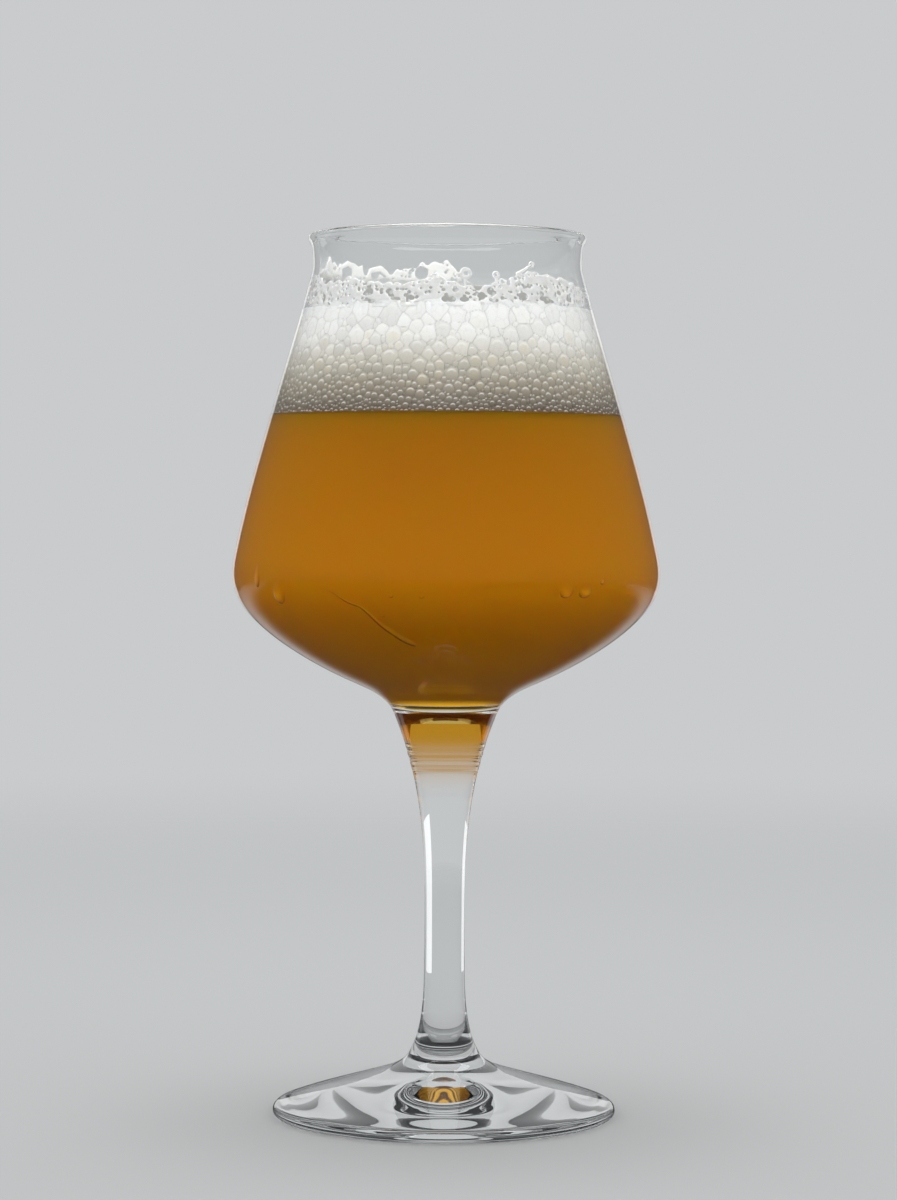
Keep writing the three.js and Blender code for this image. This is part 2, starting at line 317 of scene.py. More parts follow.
def fused_joint():
    """The hidden faces where glass or water runs on without a break, so nothing shows there."""
    material, tree = new_material("fused glass joint")
    nothing = add_node(tree, "BsdfTransparent", {"Color": (1, 1, 1, 1)})
    add_node(tree, "OutputMaterial", {"Surface": nothing.outputs[0]})
    return material


def hazy_beer():
    """Unfiltered amber beer: yeast haze scatters light, so it glows yellow where thin, amber where thick.

    It is painted deeper in tone just under the head, as painted shade where the head keeps the light off.
    Its floor glows with painted light, an emission for the light that the haze leads down, and shines golden
    into the stem's glass below it.
    """
    material, tree = new_material("hazy amber beer")
    place_of = add_node(tree, "TexCoord")
    axes = add_node(tree, "SeparateXYZ", {0: place_of.outputs["Object"]})
    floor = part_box("beer")[0].z
    # Painted glow: an emission at the floor, fading out upward.
    led = add_node(tree, "MapRange", {
        "Value": axes.outputs["Z"],
        "From Min": floor + FLOOR_GLOW_RISE[1],
        "From Max": floor + FLOOR_GLOW_RISE[0],
        "To Max": FLOOR_GLOW,
    }, interpolation_type="SMOOTHSTEP")
    # Painted shade: the beer deeper in tone just under the head.
    head_shade = add_node(tree, "MapRange", {
        "Value": axes.outputs["Z"], "From Min": head_bottom - HEAD_SHADE_DEPTH, "From Max": head_bottom,
    }, interpolation_type="SMOOTHSTEP")
    tone = add_node(tree, "Mix", {
        0: head_shade.outputs[0], 6: linear("#d49003"), 7: linear("#c28202"),
    }, data_type="RGBA")
    beer = add_node(tree, "BsdfPrincipled", {
        "Base Color": tone.outputs[2],
        "Roughness": 0.3,
        "IOR": 1.02,
        "Subsurface Weight": 1.0,
        "Subsurface Radius": (1.0, 0.5, 0.1),
        "Subsurface Scale": 25 * MM,
        "Transmission Weight": 0.35,
        "Emission Color": linear("#ffc430"),
        "Emission Strength": led.outputs[0],
    })
    depth = add_node(tree, "VolumeAbsorption", {"Color": linear("#f0d810"), "Density": 60.0})
    add_node(tree, "OutputMaterial", {"Surface": beer.outputs[0], "Volume": depth.outputs[0]})
    return material


def beer_foam():
    """Beer froth: wet bubbles, white where they are large and dry at the top, grey and beer-stained below;
    the grey is partly wetter froth and partly painted shade.

    Points carry how near they lie to a bubble's border, their random tone and painted shade, their stain, and
    a painted glint.
    """
    material, tree = new_material("beer froth")
    place_of = add_node(tree, "TexCoord")
    axes = add_node(tree, "SeparateXYZ", {0: place_of.outputs["Object"]})
    climb = add_node(tree, "MapRange", {
        "Value": axes.outputs["Z"], "From Min": head_bottom, "From Max": head_top,
    })
    # Darker downward: partly wetter froth, partly painted shade where light from above falls off.
    tone = add_node(tree, "ValToRGB", {"Fac": climb.outputs[0]})
    ramp = tone.color_ramp
    ramp.elements[0].color = linear("#7d5c2c")
    ramp.elements[1].color = linear("#fcfcfa")
    tones = ((0.03, "#7a6e5f"), (0.12, "#92897b"), (0.27, "#ada595"), (0.5, "#d6d2c7"), (0.72, "#f3f2ef"))
    for position, colour in tones:
        ramp.elements.new(position).color = linear(colour)
    stain = add_node(tree, "Attribute", attribute_name="bubble_stain")
    stained = add_node(tree, "Mix", {
        0: stain.outputs["Fac"], 6: tone.outputs["Color"], 7: linear("#e2d3a2"),
    }, data_type="RGBA")
    # Random tone and painted shade darken the froth.
    shade = add_node(tree, "Attribute", attribute_name="bubble_shade")
    shaded = add_node(tree, "Mix", {
        0: shade.outputs["Fac"], 6: stained.outputs[2], 7: linear("#8e8e8c"),
    }, data_type="RGBA", blend_type="MULTIPLY")
    border = add_node(tree, "Attribute", attribute_name="bubble_border")
    lined = add_node(tree, "Mix", {
        0: border.outputs["Fac"], 6: shaded.outputs[2], 7: linear("#a5a29a"),
    }, data_type="RGBA", blend_type="MULTIPLY")
    # Painted highlight: the glint turns the froth near white.
    glint = add_node(tree, "Attribute", attribute_name="bubble_glint")
    lit = add_node(tree, "Mix", {
        0: glint.outputs["Fac"], 6: lined.outputs[2], 7: linear("#fffefb"),
    }, data_type="RGBA")
    foam = add_node(tree, "BsdfPrincipled", {
        "Base Color": lit.outputs[2],
        "Roughness": 0.16,
        "IOR": BEER_IOR,
        "Subsurface Weight": 0.6,
        "Subsurface Radius": (1.0, 0.95, 0.85),
        "Subsurface Scale": 0.7 * MM,
    })
    add_node(tree, "OutputMaterial", {"Surface": foam.outputs[0]})
    return material


def clear_water():
    """Dew that ran together into drops: clear water, with painted shade at its steep lower edge, where it
    turns light away.

    Its crown glows with painted light, an emission for the beer's light that it gathers like a lens.
    """
    material, tree = new_material("dew water")
    # Painted shade: darker at the steep lower edge.
    steep = add_node(tree, "Attribute", attribute_name="steep_edge")
    dimmed = add_node(tree, "Mix", {
        0: steep.outputs["Fac"], 6: linear("#ffffff"), 7: linear("#54432a"),
    }, data_type="RGBA")
    # Painted glow: an emission towards the crown.
    crown = add_node(tree, "Attribute", attribute_name="gathered_light")
    gathered = add_node(tree, "Math", {0: crown.outputs["Fac"], 1: DROP_GLOW}, operation="MULTIPLY")
    water = add_node(tree, "BsdfPrincipled", {
        "Base Color": dimmed.outputs[2], "Roughness": 0.0, "IOR": 1.33, "Transmission Weight": 1.0,
        "Emission Color": linear("#e0a010"), "Emission Strength": gathered.outputs[0],
    })
    lamp_way = add_node(tree, "BsdfTransparent", {"Color": linear("#fcfcfc")})
    rays = add_node(tree, "LightPath")
    surface = add_node(tree, "MixShader", {
        0: rays.outputs["Is Shadow Ray"], 1: water.outputs[0], 2: lamp_way.outputs[0],
    })
    add_node(tree, "OutputMaterial", {"Surface": surface.outputs[0]})
    return material


crystal = clear_glass("crystal glass", GLASS_IOR)
wetted = clear_glass("crystal glass wetted by beer", GLASS_IOR / BEER_IOR)
joint = fused_joint()
amber = hazy_beer()
froth = beer_foam()
water = clear_water()


# Glass.


def bowl_piece():
    """The bowl: its inner wall is wetted up to the head's top, and its flat end is fused to the stem."""
    band_material = np.zeros(len(bowl_outline) - 1)
    band_material[0] = 1
    inside = np.arange(len(bowl_outline) - 1) >= rim_row
    band_material[inside & (bowl_outline[1:, 1] < head_top)] = 2
    rings = turned_rings(bowl_outline)
    mesh = skin("bowl_glass", rings, [crystal, joint, wetted], band_material, bowl_corners)
    place(mesh, "glass", "bowl")


def stem_piece():
    """The stem: drawn from the bowl's glass, with faint rings under its head, and fused at both ends."""
    outline = fine_outline("stem")[0]
    side = outline[1:-1]
    marks = [height for height, strength in WELD_RINGS]
    reach = 4 * WELD_RING_WIDTH
    fine = np.arange(min(marks) - reach, max(marks) + reach, STEM_ROW)
    heights = np.unique(np.concatenate([side[:, 1], fine]))
    radius = np.interp(heights, side[:, 1], side[:, 0])
    swell = sum(
        strength * np.exp(-((heights - height) / WELD_RING_WIDTH)**2) for height, strength in WELD_RINGS
    )
    radius += WELD_RING_HEIGHT * swell
    outline = np.concatenate([outline[:1], np.stack([radius, heights], axis=1), outline[-1:]])
    band_material = np.zeros(len(outline) - 1)
    band_material[[0, -1]] = 1
    rings = turned_rings(outline)
    mesh = skin("stem_glass", rings, [crystal, joint], band_material, corners=[1, len(outline) - 2])
    # Painted glow: the stem's head and its rings are tinted amber, for light led down from the beer.
    glow = np.interp(heights, LED_LIGHT_HEIGHTS, (0, 1))
    led = np.clip(np.maximum(swell, glow**2 * (3 - 2 * glow)), 0, 1)
    led = np.concatenate([[0], led, [0]])
    paint(mesh, led_light=np.repeat(led, [len(points) for points in rings]))
    place(mesh, "glass", "stem")


def foot_piece():
    """The foot: a pressed disc with a hollow underside, fused to the stem at its top."""
    outline, corners = fine_outline("foot")
    band_material = np.zeros(len(outline) - 1)
    band_material[-1] = 1
    mesh = skin("foot_glass", turned_rings(outline), [crystal, joint], band_material, corners)
    place(mesh, "glass", "foot")


def beer_piece():
    """The beer: it fills the bowl up to the head."""
    outline, corners = fine_outline("beer")
    place(skin("beer_body", turned_rings(outline), [amber], corners=corners), "beer", "beer")


bowl_piece()
stem_piece()
foot_piece()
beer_piece()


# Foam.


def bubble_size(height):
    """The usual size of the bubbles on the wall at a height."""
    climb = np.clip((height - head_bottom) / (head_top - head_bottom), 0, 1)
    return SMALLEST_BUBBLE + (LARGEST_BUBBLE - SMALLEST_BUBBLE) * climb


def round_wall(from_turn, to_turn, height):
    """The way round the wall at a height from one azimuth to another."""
    return wall_radius(height) * ((to_turn - from_turn + math.pi) % FULL_TURN - math.pi)


def pack(spots, radii, apart):
    """Sets bubbles one by one where they have room, and gives each one's spot and radius."""
    bubbles = np.empty((len(radii), 3))
    count = 0
    for spot, radius in zip(spots, radii):
        others = bubbles[:count]
        room = (apart(spot, others[:, :2]) - others[:, 2]).min(initial=radius)
        if room > LEAST_ROOM * radius:
            bubbles[count] = *spot, min(radius, room)
            count += 1
    return bubbles[:count]


def packed_bubbles(scale, low, high):
    """Bubbles on the wall, by azimuth, height and radius. The first are large, and later ones fill gaps."""
    heights = low + random.random(BUBBLE_TRIES)**1.5 * (high - low)
    turns = random.uniform(0, FULL_TURN, BUBBLE_TRIES)
    share = random.uniform(0.75, 1.3, BUBBLE_TRIES) * np.linspace(1, 0.25, BUBBLE_TRIES)

    def apart(spot, others):
        return np.hypot(round_wall(spot[0], others[:, 0], spot[1]), others[:, 1] - spot[1])

    return pack(np.stack([turns, heights], axis=1), 0.5 * scale * share * bubble_size(heights), apart)


def bubble_cells(bubbles, heights):
    """For a grid on the wall: the way out of the nearest bubble and of the next one, and its number."""
    near = np.full((len(heights), FOAM_COLUMNS), FAR_AWAY)
    second = near.copy()
    owner = np.zeros(near.shape, int)
    for number, (turn, height, radius) in enumerate(bubbles):
        reach = radius + 0.7 * bubble_size(height)
        low, high = np.searchsorted(heights, (height - reach, height + reach))
        wide = reach / wall_radius(height)
        first, last = np.array((turn - wide, turn + wide)) / FULL_TURN * FOAM_COLUMNS
        columns = np.arange(int(first), int(last) + 1)
        across = round_wall(turn, columns / FOAM_COLUMNS * FULL_TURN, height)
        away = np.hypot(across[None], heights[low:high, None] - height) - radius
        window = np.ix_(np.arange(low, high), columns % FOAM_COLUMNS)
        closer = away < near[window]
        second[window] = np.where(closer, near[window], np.minimum(second[window], away))
        near[window] = np.where(closer, away, near[window])
        owner[window] = np.where(closer, number, owner[window])
    return near, second, owner


def scalloped_edge(bubbles):
    """How far the bubbles of the top row rise above the head's level, round the wall."""
    reach = 0.4 * LARGEST_BUBBLE
    turn, height, radius = bubbles[np.abs(bubbles[:, 1] - head_top) < reach].T
    columns = np.arange(FOAM_COLUMNS) / FOAM_COLUMNS * FULL_TURN
    across = round_wall(turn[None], columns[:, None], head_top)
    dome = np.sqrt(np.clip(radius**2 - across**2, 0, None)) + 0.6 * (height - head_top) - reach
    return np.clip(dome.max(axis=1), -0.6 * MM, TOP_RISE)


def head_side():
    """The head's side: round beads near the beer, and large cells pressed flat on the glass higher up."""
    reach = (head_bottom, head_top + 0.5 * LARGEST_BUBBLE)
    bubbles = packed_bubbles(1, *reach)
    heights = [head_bottom]
    while heights[-1] < head_top:
        heights.append(heights[-1] + np.clip(0.12 * bubble_size(heights[-1]), *FOAM_ROW))
    heights[-1] = head_top
    heights = np.array(heights)
    rise = heights[:, None]
    climb = (rise - head_bottom) / (head_top - head_bottom)

    near, second, owner = bubble_cells(bubbles, heights)
    middle, radius = np.moveaxis(bubbles[owner, 1:], -1, 0)
    inside = np.clip(-near / radius, 0, 1)
    above = (rise - middle) / radius
    pressed = np.clip((bubble_size(middle) - PRESSED_FROM) / (PRESSED_AT - PRESSED_FROM), 0, 1)
    border = np.clip(1 - (second - near) / (0.13 * MM + 0.055 * radius), 0, 1)
    # Painted highlight: a bright crescent along each bubble's top edge, where light from above would catch
    # it.
    crescent = np.exp(-((inside - CRESCENT_AT) / CRESCENT_WIDTH)**2) * np.clip(2 * above - 0.4, 0, 1)
    behind_near, behind_second, _ = bubble_cells(packed_bubbles(HIDDEN_BUBBLE, *reach), heights)
    behind_border = np.clip(1 - (behind_second - behind_near) / (0.12 * radius), 0, 1)**2

    tint = random.random(len(bubbles))[owner]**2
    stained = (random.random(len(bubbles)) < STAINED_SHARE)[owner] * np.sqrt(inside)
    beaded = 1 - 0.9 * pressed
    # A random tone per bubble, painted shade on the lower part of each bead, where light from above leaves
    # it, and faint lines of the bubbles behind.
    shade = 0.18 * tint + 0.24 * beaded * np.clip(0.2 - above, 0, 1) + 0.15 * pressed * behind_border
    depth = pressed * CELL_GROOVE * border + beaded * 0.16 * radius * (1 - np.sqrt(inside))
    depth *= np.clip((rise - head_bottom) / (0.3 * MM), 0, 1)
    lift = np.clip((climb - 0.8) / 0.2, 0, 1)**2 * scalloped_edge(bubbles)
    rings = []
    for row, height in enumerate(heights):
        points = ring(wall_radius(height) - CONTENTS_GAP, height, FOAM_COLUMNS)
        points[:, :2] *= (1 - depth[row] / np.linalg.norm(points[0, :2]))[:, None]
        points[:, 2] += lift[row]
        rings.append(points)
    looks = {
        "bubble_border": border * (0.85 - 0.4 * climb),
        "bubble_shade": shade,
        "bubble_glint": crescent * (1 - 0.5 * climb),
        "bubble_stain": 0.22 * stained * np.interp(climb, [0.1, 0.3, 0.7, 0.9], [0, 1, 1, 0]),
    }
    return rings, {name: value.ravel() for name, value in looks.items()}


def head_crown():
    """The head's top: domed bubbles of many sizes over a surface that dips beside the wall."""
    rings = []
    radius = wall_radius(head_top) - CONTENTS_GAP
    count = FOAM_COLUMNS // 2
    r = radius - TOP_ROW
    while r > 2 * TOP_ROW:
        while count > 20 and FULL_TURN * r / count < 0.7 * TOP_ROW:
            count //= 2
        rings.append(ring(r, head_top, count))
        r -= TOP_ROW
    points = np.concatenate(rings)
    turn = random.uniform(0, FULL_TURN, TOP_TRIES)
    reach = radius * np.sqrt(random.random(TOP_TRIES))
    sizes = 0.5 * TOP_BUBBLE * random.uniform(0.5, 1.4, TOP_TRIES) * np.linspace(1, 0.2, TOP_TRIES)
    spots = np.stack([reach * np.sin(turn), -reach * np.cos(turn)], axis=1)
    bubbles = pack(spots, sizes, lambda spot, others: np.linalg.norm(others - spot, axis=1))
    near = np.full(len(points), FAR_AWAY)
    second = near.copy()
    owner = np.zeros(len(points), int)
    for number, (x, y, size) in enumerate(bubbles):
        away = np.hypot(points[:, 0] - x, points[:, 1] - y) - size
        second = np.minimum(second, np.maximum(near, away))
        owner[away < near] = number
        near = np.minimum(near, away)
    size = bubbles[owner, 2]
    inside = np.clip(-near / size, 0, 1)
    inward = 1 - np.linalg.norm(points[:, :2], axis=1) / radius
    points[:, 2] += 0.5 * size * np.sqrt(1 - (1 - inside)**2)
    points[:, 2] += TOP_DIP * np.interp(inward, [0, 0.08, 0.4, 1], [0, -1, -0.6, 0])
    return np.split(points, np.cumsum([len(r) for r in rings])[:-1]), {
        "bubble_border": 0.6 * np.clip(1 - (second - near) / TOP_BORDER, 0, 1),
        # The crown is painted a little darker, by a random share per bubble, as painted shade that tones down
        # the strong light from above.
        "bubble_shade": 0.2 + 0.2 * random.random(len(bubbles))[owner],
        "bubble_glint": np.zeros(len(points)),
        "bubble_stain": np.zeros(len(points)),
    }


def head_piece():
    """The head: froth that stands on the beer and presses on the wall."""
    side, side_looks = head_side()
    crown, crown_looks = head_crown()
    tip = crown[-1][:, 2].mean()
    mesh = skin("head_froth", [ring(0, head_bottom, 1), *side, *crown, ring(0, tip, 1)], [froth])
    looks = {name: np.concatenate([[0], side_looks[name], crown_looks[name], [0]]) for name in side_looks}
    paint(mesh, **looks)
    place(mesh, "foam", "foam_head")


head_piece()


# Lace.

# Larger holes in the lace, and notches in its crest: azimuth in degrees, rise above the head, width and
# height in millimetres. The first rows are at the front, the last at the back.
LACE_HOLES = (
    (-33.3, 2.8, 2.0, 1.6), (-24, 2.8, 1.6, 1.2), (-20.5, 0.9, 1.7, 1.3), (-15, 1.3, 1.6, 1.2),
    (0, 1.0, 2.4, 1.5), (6.8, 0.9, 1.9, 1.1), (13.8, 1.7, 1.6, 1.7), (17.6, 2.8, 1.5, 1.6),
    (31.9, 1.9, 2.2, 1.7), (46, 0.8, 1.8, 1.4),
    (-115.8, 11.9, 1.6, 1.6), (-123.6, 10.2, 4.6, 3.8), (-137.5, 12.0, 2.2, 4.0), (-143, 10.3, 2.3, 2.2),
    (-149.2, 9.0, 3.2, 1.2), (-158.7, 8.4, 3.6, 1.8), (-167.4, 10.9, 3.2, 2.8), (163, 11.0, 9.5, 5.6),
)
# Threads of foam that run above the lace: azimuth, rise and half width along each. Rings end some of them,
# and the last two are arches at the back.
LACE_THREADS = (
    ((7.3, 5.4, 0.3), (7.3, 3.6, 0.25)),
    ((3.6, 6.4, 0.4), (5.6, 6.6, 0.3)),
    ((30.5, 6.8, 0.4), (37.2, 8.6, 0.3)),
    ((20.6, 5.6, 0.4), (20.6, 4.6, 0.35)),
    (
        (-119.6, 8.8, 0.5), (-118.8, 11.0, 0.45), (-124.8, 12.0, 0.55), (-130, 11.6, 0.6),
        (-135.1, 10.2, 0.6),
    ),
    (
        (-139, 9.9, 0.5), (-140.1, 11.0, 0.5), (-146.3, 11.6, 0.6), (-149.3, 10.8, 0.55),
        (-151.7, 9.6, 0.5),
    ),
)
THREAD_BEADS = 12
# Rings of foam: azimuth, rise, radius and half width.
LACE_RINGS = ((7.6, 6.6, 0.95, 0.42), (38.6, 9.0, 0.55, 0.28), (20.6, 6.4, 0.6, 0.3))
# The film clings to the glass, so it bites a little into the wall. Its foot is tucked in behind the head.
LACE_THICKNESS = 0.5 * MM
LACE_BITE = 0.06 * MM
LACE_OVERLAP = 0.8 * MM
LACE_TUCK = 0.45 * MM
LACE_TUCK_HEIGHT = 1.2 * MM
LACE_ROUNDING = 0.35 * MM
LACE_BUBBLE = 0.25
# The film's inner face is painted with shade, dark low down where the bowl is in gloom, and light higher up.
LACE_GLOOM_RISE = (8 * MM, 10 * MM)
LACE_GLOOM = (0.75, 0.15)
# Painted shade on the edges of the holes.
LACE_EDGE_SHADE = 0.2
LACE_RAGGED = 0.3 * MM
LACE_CREST_DROP = 0.4 * MM
LACE_WAVES = range(11, 90, 6)
LACE_SMALL_HOLES = 850
LACE_LARGE_HOLES = 45
LACE_CAD_COLUMNS = 80


def lace_crest(azimuth):
    """The height that the lace reaches at an azimuth, from the top of its CAD solid."""
    spots = np.array([v.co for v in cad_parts["foam_lace"].data.vertices])
    turn = np.arctan2(spots[:, 0], -spots[:, 1]) / FULL_TURN * LACE_CAD_COLUMNS
    column = np.round(turn).astype(int) % LACE_CAD_COLUMNS
    crest = [spots[column == k, 2].max() for k in range(LACE_CAD_COLUMNS)]
    crest.append(crest[0])
    return np.interp(azimuth % FULL_TURN, np.linspace(0, FULL_TURN, LACE_CAD_COLUMNS + 1), crest)


def lace_field():
    """How far inside the lace each point of a grid on the wall lies, in metres, and the grid's own axes."""
    azimuth = np.arange(FOAM_COLUMNS) / FOAM_COLUMNS * FULL_TURN
    height = np.arange(head_top - LACE_OVERLAP, lace_top + LACE_ROW, LACE_ROW)
    radius = wall_radius(0.5 * (head_top + lace_top))
    turn, rise = np.meshgrid(azimuth, height)
    ragged = sum(
        LACE_RAGGED / (1 + order / 24) * np.sin(order * azimuth + phase)
        for order, phase in zip(LACE_WAVES, random.uniform(0, FULL_TURN, len(LACE_WAVES)))
    )
    crest = lace_crest(azimuth)
    field = np.minimum(crest + ragged - LACE_CREST_DROP - rise, rise - height[0] - 0.5 * LACE_ROW)

    def reach(centre, at, stretch=1):
        across = radius * ((turn - centre + math.pi) % FULL_TURN - math.pi)
        return np.hypot(across, (rise - at) / stretch)

    def cut(centre, at, width, stretch):
        field[:] = np.minimum(field, (reach(centre, at, stretch) - 0.5 * width) * min(1, stretch))

    for centre, at, width, tall in LACE_HOLES:
        cut(math.radians(centre), head_top + at * MM, width * MM, tall / width)
    for centre in random.uniform(0, FULL_TURN, LACE_LARGE_HOLES):
        at, width = np.multiply(random.uniform((0.4, 1.1), (3.2, 2.2)), MM)
        cut(centre, head_top + at, width, random.uniform(0.55, 0.85))
    for centre in random.uniform(0, FULL_TURN, LACE_SMALL_HOLES):
        top = np.interp(centre, azimuth, crest)
        at = head_top + random.random() * (top - head_top)
        shrink = np.clip((top - at) / (1.5 * MM), 0.4, 1)
        cut(centre, at, shrink * random.uniform(0.45, 0.9) * MM, random.uniform(0.65, 1.1))
    for start, end in (leg for thread in LACE_THREADS for leg in zip(thread, thread[1:])):
        for share in np.linspace(0, 1, THREAD_BEADS):
            centre, at, half_width = np.add(start, share * np.subtract(end, start))
            field = np.maximum(field, half_width * MM - reach(math.radians(centre), head_top + at * MM))
    for centre, at, size, half_width in LACE_RINGS:
        away = reach(math.radians(centre), head_top + at * MM) - size * MM
        field = np.maximum(np.where(away < 0, 0, field), half_width * MM - np.abs(away))
    return field, azimuth, height


def lace_piece():
    """Foam left on the wall above the head: a film with holes, as thick as a rounded ridge between them."""
    field, azimuth, height = lace_field()
    columns = field.shape[1]
    bulge = 0.5 * LACE_THICKNESS * np.sqrt(1 - (1 - np.clip(field / LACE_ROUNDING, 0, 1))**2)
    middle = 0.5 * LACE_THICKNESS - LACE_BITE
    points, faces = [], []
    outer, inner, cuts = {}, {}, {}

    def add_point(turn, at, inset):
        tuck = np.clip((head_top + LACE_TUCK_HEIGHT - at) / LACE_TUCK_HEIGHT, 0, 1)
        r = wall_radius(at) - inset - LACE_TUCK * tuck**2 * (3 - 2 * tuck)
        points.append((r * math.sin(turn), -r * math.cos(turn), at))
        return len(points) - 1

    def edge_point(a, b):
        key = (min(a, b), max(a, b))
        if key not in cuts:
            (row_a, column_a), (row_b, column_b) = a, b
            value_a, value_b = field[row_a, column_a % columns], field[row_b, column_b % columns]
            share = value_a / (value_a - value_b)
            turn = (column_a + share * (column_b - column_a)) / columns * FULL_TURN
            cuts[key] = add_point(turn, height[row_a] + share * (height[row_b] - height[row_a]), middle)
        return cuts[key]

    def film_point(spot, side, known):
        row, column = spot[0], spot[1] % columns
        if (row, column) not in known:
            known[row, column] = add_point(azimuth[column], height[row], middle - side * bulge[row, column])
        return known[row, column]

    inside = field > 0
    ahead = np.roll(inside, -1, axis=1)
    for row, column in np.argwhere(inside[:-1] | inside[1:] | ahead[:-1] | ahead[1:]).tolist():
        corners = [(row, column), (row, column + 1), (row + 1, column + 1), (row + 1, column)]
        front, back = [], []
        for a, b in zip(corners, corners[1:] + corners[:1]):
            a_in, b_in = inside[a[0], a[1] % columns], inside[b[0], b[1] % columns]
            if a_in:
                front.append(film_point(a, 1, outer))
                back.append(film_point(a, -1, inner))
            if a_in != b_in:
                front.append(edge_point(a, b))
                back.append(front[-1])
        faces += [front, back[::-1]]
    mesh = bpy.data.meshes.new("lace_froth")
    mesh.from_pydata(points, [], faces)
    mesh.materials.append(froth)
    mesh.shade_smooth()
    bubbles = packed_bubbles(LACE_BUBBLE, height[0], height[-1])
    near, second, owner = bubble_cells(bubbles, height)
    middles = np.clip((second - near) / (0.2 * MM), 0, 1)
    mottle = middles * (0.02 + 0.14 * random.random(len(bubbles)))[owner]
    shade = np.zeros(len(points))
    shade[list(outer.values())] = mottle[tuple(np.array(list(outer)).T)]
    # Painted shade on the inner face, by its rise.
    inner_rise = height[np.array(list(inner))[:, 0]] - head_top
    shade[list(inner.values())] = np.interp(inner_rise, LACE_GLOOM_RISE, LACE_GLOOM)
    # Painted shade on the edges of the holes.
    shade[list(cuts.values())] = LACE_EDGE_SHADE
    paint(mesh, bubble_shade=shade)
    place(mesh, "foam", "foam_lace")


lace_piece()


# Dew.

# Drops on the front of the bowl: azimuth in degrees, height, width and length in millimetres, and lean in
# degrees.
DEW_DROPS = (
    (-59.0, 121.6, 2.4, 5.0, 4), (-49.5, 118.4, 4.0, 5.6, 26), (32.7, 119.0, 3.4, 3.3, 0),
    (38.8, 119.0, 3.6, 3.4, 0), (44.3, 121.2, 1.5, 2.0, -20), (-6.2, 117.9, 1.1, 1.2, 0),
    (-14.2, 118.0, 1.0, 1.2, 0), (-17.6, 113.6, 1.1, 0.8, 0),
)
# Small drops on the back: their number, the azimuths that they lie between, and the least and most height and
# width in millimetres.
BACK_DROPS = 16
BACK_DROP_TURNS = (math.radians(110), math.radians(250))
BACK_DROP_HEIGHTS = (108, 124)
BACK_DROP_WIDTHS = (0.8, 1.8)
# A run of water down the belly: azimuth in degrees and height in millimetres, from its top.
DEW_RUN = (
    (-34.3, 119.4), (-29.6, 118.0), (-26.3, 116.4), (-23.1, 115.4), (-21.0, 113.8), (-18.7, 111.6),
    (-15.8, 109.7), (-12.4, 108.0), (-9.6, 107.2),
)
DEW_RUN_WIDTH = 1.4 * MM
DROP_POINTS = 28
DROP_SHARES = (1, 0.95, 0.87, 0.76, 0.62, 0.42, 0.2)
DROP_CROWN = 0.17
DROP_SINK = 0.03 * MM
RUN_POINTS = 16


def wall_spot(turn, height, lift):
    """A point on the outside of the bowl, lifted square to the wall."""
    step = 0.5 * MM
    lean = (wall_radius(height + step, outer_wall) - wall_radius(height - step, outer_wall)) / (2 * step)
    square = 1 / np.sqrt(1 + lean**2)
    radius = wall_radius(height, outer_wall) + lift * square
    return np.stack([radius * np.sin(turn), -radius * np.cos(turn), height - lift * lean * square], axis=-1)


def drop_rings(turn, height, width, length, lean):
    """Rings of a hanging drop, fuller at its foot, from its back's middle to its crown, and its painted edge
    shade and glow.
    """
    around = np.arange(DROP_POINTS) / DROP_POINTS * FULL_TURN
    crown = DROP_CROWN * min(width, length)
    rings = [wall_spot(np.array([turn]), np.array([height]), -2 * DROP_SINK)]
    steep, gathered = [[0]], [[0]]
    for share in DROP_SHARES:
        across = 0.5 * width * share * np.cos(around) * (1 - 0.15 * np.sin(around))
        up = 0.5 * length * share * np.sin(around)
        u = across * math.cos(lean) + up * math.sin(lean)
        v = up * math.cos(lean) - across * math.sin(lean)
        lift = crown * (1 - share**2) * (1 - 0.4 * share * np.sin(around)) - DROP_SINK
        rings.append(wall_spot(turn + u / wall_radius(height, outer_wall), height + v, lift))
        # Painted shade at the lower rim, and painted glow towards the crown.
        steep.append(share**3 * np.clip(0.2 - np.sin(around), 0, 1))
        gathered.append((1 - share**2) * (0.6 - 0.4 * np.sin(around)))
    rings.append(wall_spot(np.array([turn]), np.array([height]), np.array([crown - DROP_SINK])))
    return rings, np.concatenate([*steep, [0]]), np.concatenate([*gathered, [0.6]])


